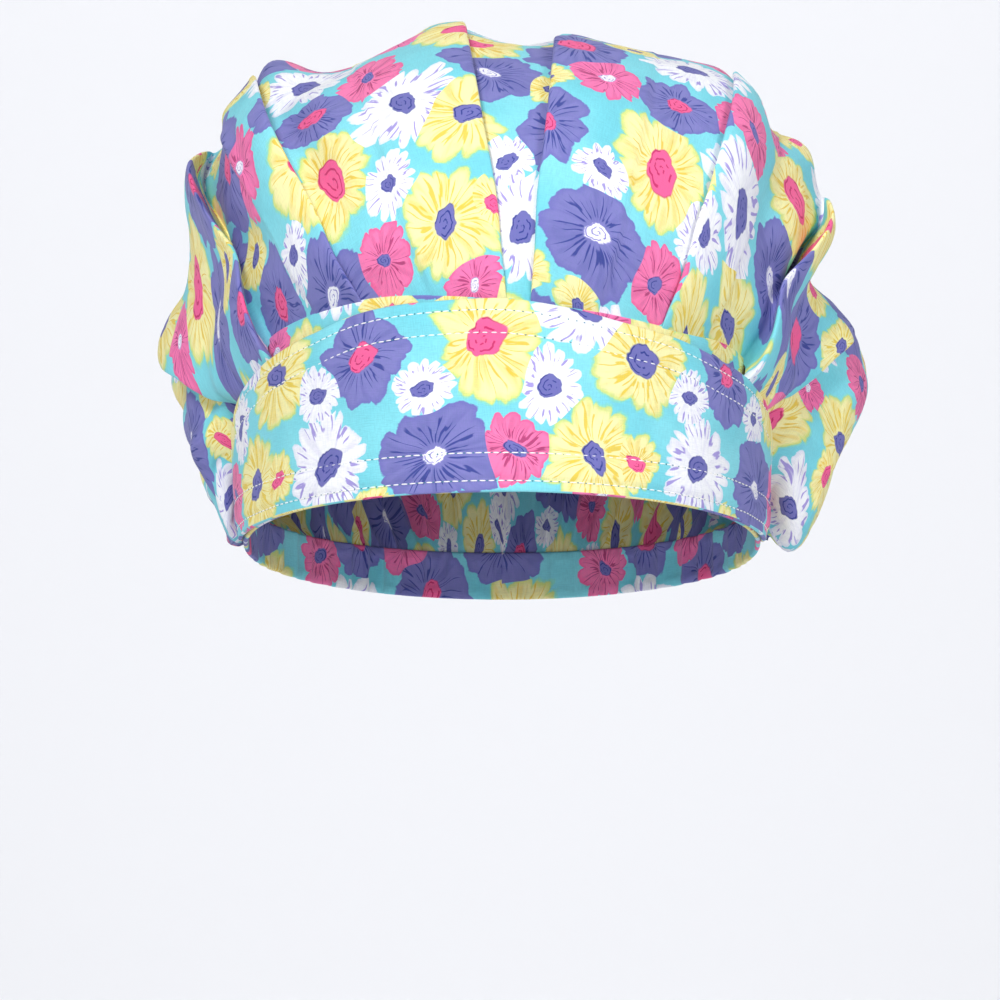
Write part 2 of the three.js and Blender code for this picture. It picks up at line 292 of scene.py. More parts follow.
# Cotton poplin, plain-woven and printed: matt, with the faint sheen of its fibres, and soft-edged inks.
# Its threads are drawn 0.4 mm apart, coarser than real ones, so that they show.
cotton = dict(
    waver=5.0, waverScale=0.08,  # how far the drawn edges stray, and in how many waves a millimetre
    change=0.012,  # how fast the drawing of the motifs changes over the print
    ground=("#76D2E0", "#8ADFEA"), haze="#9ADF9C", hazeAmount=0.6,
    across=2.6, along=0.35,  # waves of thread in a millimetre, across a thread and along it
    # painted shade between the threads: its colour, and how much of it darkens the cloth
    threadShadowColor="#2F6F86", threadShadowAmount=0.22, bump=0.6, bumpHeight=0.00014,
    roughness=0.78, sheen=0.12, sheenRoughness=0.5, specular=0.25,
)


# shift moves the print on a piece, in millimetres.
def printedCotton(name, shift):
    material = bpy.data.materials.new(name)
    material.use_nodes = True
    tree = material.node_tree
    shader = tree.nodes["Principled BSDF"]
    modeNames = {"Math": "operation", "VectorMath": "operation", "Mix": "data_type",
                 "MapRange": "interpolation_type", "VectorRotate": "rotation_type"}

    # Adds a node, whose mode may follow its kind, with values or links for its inputs in order.
    # Gives its first output, or the one that out counts to.
    def add(kind, *values, out=0, **settings):
        kind, _, mode = kind.partition(" ")
        node = tree.nodes.new("ShaderNode" + kind)
        if mode:
            setattr(node, modeNames[kind], mode)
        for key, value in settings.items():
            setattr(node, key, value)
        for socket, value in zip([socket for socket in node.inputs if socket.enabled], values):
            if isinstance(value, bpy.types.NodeSocket):
                tree.links.new(value, socket)
            elif value is not None:
                socket.default_value = value
        return [socket for socket in node.outputs if socket.enabled][out]

    coordinates = add("UVMap", uv_map="cloth")
    place = add("VectorMath MULTIPLY_ADD", coordinates, (1000, 1000, 0), (shift[0], shift[1], 0))
    # hand-drawn edges: the whole print wavers a little
    waver = add("TexNoise", place, cotton["waverScale"], 0.0, out=1)
    drawn = add("VectorMath MULTIPLY_ADD", waver, (cotton["waver"], cotton["waver"], 0), place)

    half = (tile["width"] / 2, tile["height"] / 2, 1)
    best, nearest, kind = None, None, None
    for x, y, wide, high, index in motifTable:
        away = add("VectorMath SUBTRACT", drawn, (x, y, 0))
        wrapped = add("VectorMath WRAP", away, half, tuple(-value for value in half))
        scaled = add("VectorMath MULTIPLY", wrapped, (1 / wide, 1 / high, 0))
        length = add("VectorMath LENGTH", scaled)
        position = (index + 0.5) / len(kindTable)
        if best is None:
            best, nearest, kind = length, scaled, add("Math ADD", position, 0.0)
            continue
        closer = add("Math LESS_THAN", length, best)
        nearest = add("Mix VECTOR", closer, nearest, scaled)
        kind = add("Mix FLOAT", closer, kind, position)
        best = add("Math MINIMUM", best, length)

    # Each column of the table becomes a ramp over the kinds. A ramp holds no value over 1, so counts
    # are scaled down in it and up again after it.
    traits = []
    for column in zip(*kindTable):
        ramp = add("ValToRGB", kind)
        ramp.node.color_ramp.interpolation = "CONSTANT"
        stops = ramp.node.color_ramp.elements
        isColor = isinstance(column[0], str)
        most = 1 if isColor else max(1, *column)
        while len(stops) < len(column):
            stops.new(1.0)
        for index, value in enumerate(column):
            stops[index].position = index / len(column)
            stops[index].color = linear(value) if isColor else (value / most,) * 3 + (1,)
        traits.append(add("Math MULTIPLY", ramp, most) if most > 1 else ramp)
    petal, streak, edge, centre, ring, petals, notch, amount, core = traits[:9]
    lineCount, lineWidth, lineStart, lineEnd = traits[9:]

    direction = add("VectorMath NORMALIZE", nearest)
    angle = add("Math ARCTAN2", add("SeparateXYZ", nearest, out=1), add("SeparateXYZ", nearest))
    # a slow change over the print keeps one motif from looking the same twice
    along = add("VectorMath ADD", direction, add("VectorMath SCALE", place, cotton["change"]))

    # Noise that changes round the flower and outwards from its centre.
    def radialNoise(across, outward, detail):
        spot = add("VectorMath SCALE", along, across)
        lift = add("Math MULTIPLY_ADD", best, outward, add("Math MULTIPLY", kind, 23.0))
        reach = add("CombineXYZ", None, None, lift)
        return add("TexNoise", add("VectorMath ADD", spot, reach), 1.0, detail)

    # A saw of so many teeth round the flower, 1 at the tips and 0 between them.
    def teeth(count, noise, amount):
        turns = add("Math DIVIDE", count, 2 * math.pi)
        turn = add("Math MULTIPLY_ADD", angle, turns, add("Math MULTIPLY", noise, amount))
        return add("Math ABSOLUTE", add("Math MULTIPLY_ADD", add("Math FRACT", turn), 2.0, -1.0))

    bend = radialNoise(1.6, 0.3, 1.0)
    notches = add("Math MULTIPLY", add("Math POWER", teeth(petals, bend, 1.6), 3.0), notch)
    uneven = add("Math MULTIPLY_ADD", bend, 0.7, -0.33)
    ragged = add("Math MULTIPLY_ADD", add("TexNoise", place, 0.6, 2.0), 0.1, -0.05)
    rim = add("Math ADD", add("Math SUBTRACT", 0.97, notches), add("Math ADD", uneven, ragged))
    inside = add("Math SUBTRACT", rim, best)
    mask = add("MapRange SMOOTHSTEP", inside, -0.012, 0.022)

    # brush lines out from the centre, each of its own length
    jitter = radialNoise(3.1, 0.8, 2.0)
    lineSaw = teeth(lineCount, jitter, 3.0)
    spread = radialNoise(7.0, 0.0, 0.0)
    far = add("Math MULTIPLY", lineEnd, add("Math MULTIPLY_ADD", spread, 1.1, 0.4))
    near = add("Math MULTIPLY", lineStart, add("Math MULTIPLY_ADD", jitter, 1.0, 0.5))
    taper = add("Math MULTIPLY", add("MapRange SMOOTHSTEP", add("Math SUBTRACT", far, best), 0.0, 0.16),
                add("MapRange SMOOTHSTEP", add("Math SUBTRACT", best, near), 0.0, 0.1))
    taper = add("Math MULTIPLY", taper, add("MapRange SMOOTHSTEP", inside, 0.015, 0.05))
    # lines keep their width in millimetres as they spread apart
    thin = add("Math DIVIDE", add("Math MULTIPLY", lineWidth, 0.62), add("Math MAXIMUM", best, 0.15))
    body = add("Math SUBTRACT", add("Math MULTIPLY", thin, taper), lineSaw)
    stroke = add("Math MULTIPLY", taper, add("MapRange SMOOTHSTEP", body, -0.1, 0.06))
    fade = add("Math MULTIPLY", add("MapRange SMOOTHSTEP", best, 0.12, 0.3),
               add("MapRange SMOOTHSTEP", inside, 0.02, 0.2))
    washes = add("MapRange SMOOTHSTEP", radialNoise(4.0, 0.4, 2.0), 0.42, 0.7)
    wash = add("Math MULTIPLY", add("Math MULTIPLY", washes, amount), fade)
    flower = add("Mix RGBA", add("MapRange SMOOTHSTEP", inside, 0.16, 0.0), petal, edge)
    flower = add("Mix RGBA", wash, flower, streak)
    flower = add("Mix RGBA", add("Math MULTIPLY", stroke, 0.9), flower, streak)

    # an oval centre, turned its own way, with a line curled up in it
    heading = add("Math MULTIPLY", add("TexNoise", place, 0.014), 9.0)
    turned = add("VectorRotate Z_AXIS", nearest, None, heading)
    oval = add("VectorMath LENGTH", add("VectorMath MULTIPLY", turned, (1.2, 0.86, 0)))
    coreEdge = add("Math MULTIPLY", core, add("Math MULTIPLY_ADD", bend, 0.6, 0.72))
    outwards = add("Math SUBTRACT", coreEdge, oval)
    coreMask = add("MapRange SMOOTHSTEP", outwards, -0.01, 0.025)
    curls = add("Math MULTIPLY", add("Math DIVIDE", oval, coreEdge), 2.4)
    curl = add("Math FRACT", add("Math MULTIPLY_ADD", angle, 1 / (2 * math.pi), curls))
    curled = add("Math ABSOLUTE", add("Math SUBTRACT", curl, 0.5))
    ringMask = add("Math MULTIPLY", add("MapRange SMOOTHSTEP", curled, 0.15, 0.08),
                   add("MapRange SMOOTHSTEP", radialNoise(1.3, 2.0, 0.0), 0.4, 0.47))
    outline = add("Math MULTIPLY", add("MapRange SMOOTHSTEP", add("Math ABSOLUTE", outwards), 0.034, 0.012),
                  add("MapRange SMOOTHSTEP", jitter, 0.4, 0.5))
    ringMask = add("Math MAXIMUM", ringMask, outline)
    flower = add("Mix RGBA", coreMask, flower, add("Mix RGBA", ringMask, centre, ring))

    # the ground fades a little from wash to wash, and is greener round the yellow flowers
    shade = add("MapRange SMOOTHSTEP", add("TexNoise", place, 0.03, 2.0), 0.3, 0.7)
    ground = add("Mix RGBA", shade, *[linear(code) for code in cotton["ground"]])
    yellow = add("Math LESS_THAN", kind, 2 / len(kindTable))  # the first two kinds
    haze = add("Math MULTIPLY", add("MapRange SMOOTHSTEP", inside, -0.07, 0.01), yellow)
    haze = add("Math MULTIPLY", haze, cotton["hazeAmount"])
    ground = add("Mix RGBA", haze, ground, linear(cotton["haze"]))
    color = add("Mix RGBA", mask, ground, flower)

    # plain weave: fine threads both ways, with slubs; where the threads dip, the colour is darkened with
    # painted shade
    fine, long = cotton["across"], cotton["along"]
    warp = add("TexNoise", add("VectorMath MULTIPLY", place, (fine, long, 1)), 1.0, 1.0)
    weft = add("TexNoise", add("VectorMath MULTIPLY", place, (long, fine, 1)), 1.0, 1.0)
    threads = add("Math ADD", warp, weft)
    grain = add("MapRange SMOOTHSTEP", threads, 0.75, 1.25)
    shadow = add("Mix RGBA", 0.5, color, linear(cotton["threadShadowColor"]))
    dark = add("Math MULTIPLY_ADD", grain, -cotton["threadShadowAmount"], cotton["threadShadowAmount"])
    color = add("Mix RGBA", dark, color, shadow)
    tree.links.new(color, shader.inputs["Base Color"])
    tree.links.new(add("Math MULTIPLY_ADD", grain, 0.1, cotton["roughness"]), shader.inputs["Roughness"])
    shader.inputs["Sheen Weight"].default_value = cotton["sheen"]
    shader.inputs["Sheen Roughness"].default_value = cotton["sheenRoughness"]
    shader.inputs["Specular IOR Level"].default_value = cotton["specular"]
    weave = add("Bump", cotton["bump"], cotton["bumpHeight"], None, threads)
    tree.links.new(weave, shader.inputs["Normal"])
    return material


crownCotton = printedCotton("printed cotton poplin, crown", (25, 66))
brimCotton = printedCotton("printed cotton poplin, brim", (61, 38))
bandCotton = printedCotton("printed cotton poplin, band", (20, 96))
print("cotton ready")


# The crown: a full bag pleated into the band in front and gathered into it behind

crown = dict(
    halfWidth=112, height=166, bulge=34, crest=0.47, fullness=0.82, roll=3, seamDrop=1.2,
    rows=224, spacing=1.38, samplesPerRib=60,
    foldDepth=12, openDepth=14, foldLeast=6, bendRadius=0.7, crestRadius=1.1, letGoRoom=5,
    spread=18, openSpread=9.9, valleyPlace=4, valleyWidth=10, openValley=8,
    gatherCount=40, gatherNear=3.4, gatherMiddle=4.6, gatherFar=4.0,
    ribWidth=19, length=300, creaseBend=5, creaseBendLength=45, softWidth=17, softLength=95,
    hang=10, hangOut=2.2,
)
# Ribs from the left ear to the right one: front and back angle, then side, top and deep as in the solids
ribTable = [
    (-92, -101, -0.73, 0.088, 0.112),
    (-90, -104, -0.755, 0.015, 0.1), (-87, -110, -0.84, 0.115, 0.17), (-84, -117, -0.895, 0.235, 0.22),
    (-80, -125, -0.928, 0.365, 0.24), (-70, -133, -0.87, 0.585, 0.2), (-57, -142, -0.795, 0.745, 0.12),
    (-44, -151, -0.765, 0.8, 0.08), (-31, -160, -0.7, 0.85, 0.05), (-15, -168, -0.42, 0.91, 0.05),
    (1, -176, -0.13, 0.975, 0.05), (6, -184, 0.17, 0.955, 0.05), (20, -192, 0.42, 0.93, 0.05),
    (36, -200, 0.665, 0.88, 0.05), (49, -209, 0.75, 0.78, 0.08), (62, -218, 0.875, 0.66, 0.12),
    (72, -227, 0.86, 0.54, 0.2), (81, -235, 0.965, 0.425, 0.24), (85, -243, 1.0, 0.305, 0.24),
    (88, -250, 0.935, 0.14, 0.18), (90, -256, 0.82, 0.0, 0.1), (92, -259, 0.73, 0.088, 0.112),
]
# Pleats: rib, side on top (-1 left, 1 right), height of the free edge near the seam and farther up,
# how far it reaches over, how deep the cloth beside it is drawn in, the share at which it lets go,
# and how far the fold stands open, from 0 pressed flat to 1
pleatTable = [
    (4, 1, 1.6, 5.0, 3.0, 5.0, 0.48, 0.6), (6, -1, 3.2, 9.0, 5.0, 6.0, 0.38, 1.0),
    (8, -1, 1.8, 4.6, 3.0, 5.0, 0.42, 0), (10, -1, 1.7, 3.0, 2.0, 1.2, 0.45, 0),
    (11, 1, 1.7, 3.0, 2.0, 0.9, 0.44, 0), (13, 1, 2.0, 3.4, 3.0, 0.6, 0.43, 0),
    (15, 1, 3.2, 8.5, 5.0, 6.0, 0.35, 1.0), (17, -1, 1.6, 5.0, 3.0, 5.0, 0.34, 0.6),
]
# Middle of each panel between pleats, in ribs
panelMiddles = [0, 5, 7, 9, 10.5, 12, 14, 16, 21]
# Where the outer panels hang over the band, in ribs: from, fully from, fully to, to
hangTable = [(3.9, 4.8, 6.3, 7), (14, 14.7, 16.2, 17.1)]
# Soft unevenness of the whole bag: height, distance between rises, its rate upwards beside that across
softTable = [(1.5, 34, 0.7), (0.8, 15, 1), (0.3, 6.5, 1)]
# Puffs and dents: rib, share from front to back, width in ribs, length in shares, rise
puffTable = [
    (8.35, 0.45, 0.28, 0.1, 9.5), (7.7, 0.46, 0.3, 0.1, -1.5), (7.0, 0.44, 0.3, 0.12, -3.0),
    (6.5, 0.46, 0.25, 0.1, -3.5), (5.7, 0.47, 0.36, 0.12, 2.5), (4.65, 0.45, 0.2, 0.16, -3.0),
    (4.2, 0.43, 0.34, 0.12, 1.2), (5.5, 0.36, 0.35, 0.12, 2.6), (3.6, 0.42, 0.35, 0.1, -3.4),
    (3.0, 0.36, 0.4, 0.12, -0.8), (9.95, 0.47, 0.34, 0.09, 2.0), (11.15, 0.47, 0.34, 0.09, 1.6),
    (10.5, 0.45, 0.3, 0.1, -2.8), (13.1, 0.46, 0.28, 0.1, -1.8), (13.65, 0.46, 0.2, 0.1, -3.0),
    (14.4, 0.45, 0.42, 0.12, 8.0), (12.6, 0.5, 0.6, 0.1, 1.7), (15.3, 0.44, 0.36, 0.12, 3.0),
    (16.15, 0.43, 0.3, 0.13, -3.4), (17.2, 0.42, 0.4, 0.13, 4.0), (18.1, 0.42, 0.5, 0.14, 3.6),
    (10.6, 0.62, 1.4, 0.1, 2.6), (7.4, 0.7, 0.8, 0.12, 3.3), (13.8, 0.72, 0.8, 0.12, 3.3),
    (9.6, 0.78, 0.5, 0.14, -3.3), (12.2, 0.8, 0.5, 0.12, -3.0),
]
# Creases: from rib and share, to rib and share, width in millimetres, rise
creaseTable = [
    (8.9, 0.1, 9.3, 0.3, 5, -0.9), (9.0, 0.36, 9.6, 0.2, 4, 0.8), (12.2, 0.12, 12.6, 0.34, 5, -0.9),
    (7.2, 0.12, 7.6, 0.34, 4, -1.2), (6.7, 0.34, 7.3, 0.14, 5, 1.3), (14.2, 0.14, 14.5, 0.34, 5, -1.5),
    (15.8, 0.1, 15.4, 0.36, 5, 0.8), (5.2, 0.08, 5.5, 0.3, 5, -1.0), (3.7, 0.06, 2.7, 0.34, 6, -2.4),
    (3.3, 0.05, 2.2, 0.36, 5, 2.0), (2.2, 0.06, 1.4, 0.4, 5, -2.0),
    (17.4, 0.06, 18.4, 0.32, 6, -2.4), (18.0, 0.06, 19.2, 0.34, 5, 2.0), (18.9, 0.05, 19.8, 0.4, 5, -1.8),
    (1.6, 0.3, 3.4, 0.75, 8, -3.2), (2.6, 0.4, 5.2, 0.8, 9, 3.0), (4.4, 0.55, 6.2, 0.9, 8, -3.0),
    (19.2, 0.32, 17.6, 0.78, 8, -3.4), (18.4, 0.42, 15.9, 0.82, 9, 3.0), (16.8, 0.56, 14.8, 0.92, 8, -3.0),
    (6.8, 0.56, 7.6, 0.86, 8, 2.6), (8.8, 0.52, 8.6, 0.84, 7, -2.6), (10.6, 0.6, 10.2, 0.9, 9, -2.8),
    (11.8, 0.55, 12.4, 0.84, 7, 2.6), (13.6, 0.6, 13.2, 0.9, 7, -2.6), (9.6, 0.64, 9.4, 0.92, 7, 2.4),
]


# The bag's smooth shape: a place in ribs from the left ear, a share from front seam to back.
def bagPoint(place, share):
    place, share = np.broadcast_arrays(np.asarray(place, float), np.asarray(share, float))
    front, back, side, top, deep = [readRows(column, place) for column in zip(*ribTable)]
    behind = share > crown["crest"]
    turn = np.where(behind, (1 - share) / (1 - crown["crest"]), share / crown["crest"])
    seamAngle = np.where(behind, back, front)
    out = 0.5 * band["wall"] + 0.85 * bandRipple(seamAngle) * (1 - smooth(turn, 0.02, 0.2))
    seam = headPoint(seamAngle, out, seamRise(seamAngle) - crown["seamDrop"])
    crest = np.stack([side * crown["halfWidth"], deep * head["halfDepth"], top * crown["height"]], axis=-1)
    climb = np.sin(turn * math.pi / 2) ** crown["fullness"]
    reach = np.clip(np.cos(turn * math.pi / 2), 0, 1) ** crown["fullness"]
    point = mix(seam, crest, climb[..., None])
    full = np.clip(np.sin(place / (len(ribTable) - 1) * math.pi), 0, 1) ** 0.6
    point[..., 1] = mix(crest[..., 1], seam[..., 1], reach) + np.where(
        behind, crown["bulge"] * np.sin(turn * math.pi) * full, 0)
    hanging = mix(seam[..., 2], crest[..., 2], climb * smooth(turn, 0.06, 0.4))
    point[..., 2] = np.where(crest[..., 2] < seam[..., 2], hanging, point[..., 2])
    roll = crown["roll"] * smooth(turn, 0, 0.12) * (1 - smooth(turn, 0.4, 1))
    return point + headNormal(seamAngle) * roll[..., None], headNormal(seamAngle)


# Puffs, dents and gathers, in millimetres out of the smooth bag.
def clothRise(place, share):
    place, share = np.broadcast_arrays(place, share)
    last = len(ribTable) - 1
    rise = np.zeros(place.shape)
    for rib, back, wide, long, high in puffTable:
        rise += high * np.exp(-((place - rib) / wide) ** 2 - ((share - back) / long) ** 2)

    # creases, measured in rough millimetres of cloth
    spot = np.stack([place * crown["ribWidth"], share * crown["length"]], axis=-1)
    flat = np.concatenate([spot, np.zeros(place.shape + (1,))], axis=-1)
    bend = crown["creaseBend"] * np.stack(
        [crumple(flat, crown["creaseBendLength"], seed) for seed in (21, 22)], axis=-1)
    for startRib, startShare, endRib, endShare, wide, high in creaseTable:
        start = np.array([startRib * crown["ribWidth"], startShare * crown["length"]])
        line = np.array([endRib * crown["ribWidth"], endShare * crown["length"]]) - start
        t = ((spot + bend - start) @ line) / (line @ line)
        away = np.linalg.norm(spot + bend - start - np.clip(t, 0, 1)[..., None] * line, axis=-1)
        rise += high * smooth(t, -0.1, 0.3) * (1 - smooth(t, 0.6, 1.1)) / np.cosh(away / wide * 1.6)

    # long soft folds that run from front to back, deepest in the loose cloth
    stretched = flat * (1 / crown["softWidth"], 1 / crown["softLength"], 1)
    folds = 1 - np.sqrt(4 * crumple(stretched + 0.12 * bend[..., :1] * (0.3, 0, 0), 1, 23) ** 2 + 0.05)
    beside = 1 - smooth(np.minimum(place, last - place), 2.5, 6)
    loose = 0.5 + 1.9 * smooth(share, 0.42, 0.72) + 1.3 * beside * smooth(share, 0.2, 0.5)
    rise += folds * loose * smooth(share, 0.03, 0.15)

    # gathers at the back seam, which join each other farther up
    gather = place / last * crown["gatherCount"] + 0.9 * crumple(flat * (1, 0.4, 1), 26, 24)
    near, middle, far = [0.5 - np.abs(np.sin(math.pi * gather / over)) ** 0.75 for over in (1, 2, 4)]
    uneven = 0.75 + 0.5 * crumple(flat * (1, 0.3, 1), 20, 25)
    near = crown["gatherNear"] * near * smooth(share, 0.88, 0.975)
    middle = crown["gatherMiddle"] * middle * smooth(share, 0.74, 0.9) * (1 - 0.7 * smooth(share, 0.9, 0.98))
    far = crown["gatherFar"] * far * smooth(share, 0.56, 0.82) * (1 - 0.7 * smooth(share, 0.84, 0.95))
    rise -= uneven * (near + middle + far)
    ends = smooth(share, 0, 0.03) * (1 - smooth(share, 0.985, 1))
    ends = ends * smooth(np.minimum(place, last - place), 0, 1)
    return rise * ends


# The path of the cloth across one pleat, from one panel's middle to the next, for every row.
# Gives the distance along the bag and the height over it, and how much each column is on top.
def foldPleat(pleat, before, middle, after, widest, share):
    rib, side, seamLift, crestLift, over, drawn, letGo, opening = pleat
    upperRoom = (middle - before if side < 0 else after - middle)[:, None]
    lowerRoom = (after - middle if side < 0 else middle - before)[:, None]
    s = share[:, None]
    lift = mix(seamLift, crestLift, smooth(s, 0.02, 0.3)) * smooth(s, -0.01, 0.02)
    lift = lift * (1 - smooth(s, letGo - 0.12, letGo + 0.12))
    folded = 1 - smooth(s, letGo - 0.05, letGo + 0.1)
    opened = opening * smooth(s, 0.06, 0.2) * (1 - smooth(s, letGo - 0.06, letGo + 0.08))
    depth = np.clip((widest - (after - before)[:, None]) / 2, crown["foldLeast"], crown["foldDepth"])
    edge = over * smooth(s, 0.0, 0.1) * (1 - 0.9 * opened)
    radius = np.minimum(mix(crown["bendRadius"], crown["crestRadius"], smooth(s, 0.15, 0.42)), lift / 2.6)
    radius = radius * (1 - 0.35 * opened)
    upperCount = max(6, round(float(upperRoom.max()) / crown["spacing"]))
    lowerCount = max(6, round(float(lowerRoom.max()) / crown["spacing"]))
    upper = np.linspace(0, 1, upperCount)[None, :]
    lower = np.linspace(0, 1, lowerCount)[None, :]
    spread = crown["spread"]
    # on top, up to the free edge
    z1 = mix(-upperRoom, edge, upper)
    near = np.exp((z1 - edge) / mix(spread, crown["openSpread"], opened))
    h1 = lift * near * (2 - near)
    # round the edge, back under, and round again
    z2 = np.concatenate([
        edge + radius * 0.7, edge + radius, edge + radius * 0.7, edge - 0.4 * radius,
        edge - depth * 0.5, edge - depth, edge - depth - 0.5 * radius, edge - depth,
    ], axis=1)
    under = np.minimum(0.5, lift * 0.25)
    h2 = np.concatenate([
        lift - radius * 0.3, lift - radius, lift - radius * 1.7, lift - radius * 2,
        mix(lift - 2 * radius, 2 * under, 0.55), 2 * under, under, 0 * lift,
    ], axis=1)
    # where the fold stands open, the cloth falls from the edge into a deep valley instead
    pull = drawn * smooth(s, 0.03, 0.16) * (1 - smooth(s, letGo - 0.1, letGo + 0.08))
    fall = np.array([[0, 0, 0, 0.22, 0.5, 0.75, 0.95, 1]])
    back = np.array([[0, 0, 0, 0.24, 0.53, 0.79, 0.98, 1]]) * crown["openDepth"]
    openZ = np.concatenate([z2[:, :3], 0 * z2[:, 3:] + edge], axis=1) - back
    openH = mix(np.concatenate([h2[:, :3], 0 * h2[:, 3:] + lift - radius * 1.7], axis=1), -pull, fall)
    z2, h2 = mix(z2, openZ, opened), mix(h2, openH, opened)
    # underneath, to the next panel
    z3 = mix(edge - mix(depth, crown["openDepth"], opened), lowerRoom, lower)[:, 1:]
    beside = np.exp(-((z3 - edge - crown["valleyPlace"]) / crown["valleyWidth"]) ** 2)
    valley = np.exp(-np.maximum(z3 - edge + crown["openDepth"], 0) / crown["openValley"])
    h3 = -pull * mix(beside, valley, opened)
    z, h = np.concatenate([z1, z2, z3], axis=1), np.concatenate([h1, h2, h3], axis=1)
    # where the pleat has let go, the same columns lie side by side
    room = crown["letGoRoom"]
    flat2 = np.linspace(-room, room, z2.shape[1] + 2)[None, 1:-1] + 0 * s
    flat = np.concatenate([mix(-upperRoom, -room, upper), flat2, mix(room, lowerRoom, lower)[:, 1:]], axis=1)
    onTopRise = np.exp(np.minimum(flat + room, 0) / spread)
    flatRise = lift * np.where(flat < -room, onTopRise, smooth(flat, room, -room))
    z, h = mix(flat, z, folded), mix(flatRise, h, folded)
    onTop = np.concatenate([np.ones(upperCount), [1, 1, 1, 0.8, 0.5, 0.2, 0, 0], np.zeros(lowerCount - 1)])
    distance = middle[:, None] + z
    if side > 0:
        distance, h, onTop = middle[:, None] - z[:, ::-1], h[:, ::-1], onTop[::-1]
    return distance, h, onTop


def makeCrown():
    rows, last = crown["rows"], len(ribTable) - 1
    share = np.linspace(0, 1, rows)
    dense = np.linspace(0, last, last * crown["samplesPerRib"] + 1)
    base, level = bagPoint(dense[None, :], share[:, None])
    normal = unit(np.cross(np.gradient(base, axis=1), np.gradient(base, axis=0)))
    calm = smooth(np.minimum(share, 1 - share), 0, 0.07)[:, None, None]
    normal = unit(mix(level, normal, calm))
    steps = np.linalg.norm(np.diff(base, axis=1), axis=2)
    travelled = np.concatenate([np.zeros((rows, 1)), np.cumsum(steps, axis=1)], axis=1)
    crestRow = int(np.argmin(np.abs(share - crown["crest"])))

    def travelledAt(place):
        index = place * crown["samplesPerRib"]
        low = min(int(index), travelled.shape[1] - 2)
        return mix(travelled[:, low], travelled[:, low + 1], index - low)

    distances, heights, clothAcross, onTops = [], [], [], []
    reached = 0.0
    for index, pleat in enumerate(pleatTable):
        before, after = travelledAt(panelMiddles[index]), travelledAt(panelMiddles[index + 1])
        middle = travelledAt(pleat[0])
        widest = float((after - before)[crestRow])
        distance, high, onTop = foldPleat(pleat, before, middle, after, widest, share)
        path = np.hypot(np.diff(distance, axis=1), np.diff(high, axis=1))
        fromLeft = np.concatenate([np.zeros((rows, 1)), np.cumsum(path, axis=1)], axis=1)
        whole = fromLeft[:, -1:]
        fold = int(np.argmax(onTop < 0.55)) if pleat[1] < 0 else int(np.argmax(onTop > 0.45))
        columns = np.arange(distance.shape[1])[None, :]
        jumped = np.where(columns < fold, fromLeft, widest - (whole - fromLeft))
        even = fromLeft * widest / whole
        behind = smooth(share, 0.34, 0.52)[:, None]
        across = reached + mix(jumped, even, behind)
        reached += widest
        keep = slice(None) if index == 0 else slice(1, None)
        distances.append(distance[:, keep])
        heights.append(high[:, keep])
        clothAcross.append(across[:, keep])
        onTops.append(onTop[keep])
    distance, high, across = [np.concatenate(part, axis=1) for part in (distances, heights, clothAcross)]
    onTop = np.concatenate(onTops)

    place = np.stack([np.interp(distance[r], travelled[r], dense) for r in range(rows)])
    index = place * crown["samplesPerRib"]
    low = np.clip(index.astype(int), 0, len(dense) - 2)
    part = (index - low)[..., None]
    row = np.arange(rows)[:, None]
    spot = mix(base[row, low], base[row, low + 1], part)
    out = unit(mix(normal[row, low], normal[row, low + 1], part))
    rise = high * smooth(np.minimum(place, last - place), 0, 1) + clothRise(place, share[:, None])
    points = spot + out * rise[..., None]

    # soft, uneven cloth
    ends = (smooth(share, 0.01, 0.08) * (1 - smooth(share, 0.93, 1)))[:, None]
    soft = sum(high * crumple(points * (1, 1, squash), scale, seed)
               for seed, (high, scale, squash) in enumerate(softTable, 1))
    points = points + out * (soft * ends)[..., None]

    # the outer panels hang over the band beside the brim
    hanging = sum(smooth(place, start, full) * smooth(place, end, fade)
                  for start, full, fade, end in hangTable)
    over = hanging * onTop[None, :] * (1 - smooth(share, 0, 0.12))[:, None]
    points[..., 2] -= crown["hang"] * over
    points += out * (crown["hangOut"] * smooth(over, 0, 0.4) * (1 - 0.3 * over))[..., None]

    along = np.linalg.norm(np.diff(points, axis=0), axis=2)
    up = np.concatenate([np.zeros((1, points.shape[1])), np.cumsum(along, axis=0)], axis=0)
    up = up - up[crestRow][None, :]
    piece = gridMesh("crown_cloth", points, np.stack([across, up], axis=-1))
    piece.data.materials.append(crownCotton)
    print("crown", points.shape, "width of cloth", round(reached))
    return piece, (reached, float(up[-1].max() - up[0].min()))


crownPiece, crownCut = makeCrown()
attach(crownPiece, "root")
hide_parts("crown")


# The band, with elastic behind the ears

# Points of a half circle from one edge row to the other, bulging up or down.
def roundEdge(outerEdge, innerEdge, bulge, count):
    turn = (np.arange(1, count + 1) / (count + 1) * math.pi)[:, None, None]
    middle, arm = (outerEdge + innerEdge) / 2, (outerEdge - innerEdge) / 2
    lift = np.zeros_like(arm)
    lift[..., 2] = bulge * np.linalg.norm(arm, axis=-1)
    return middle + arm * np.cos(turn) + lift * np.sin(turn)


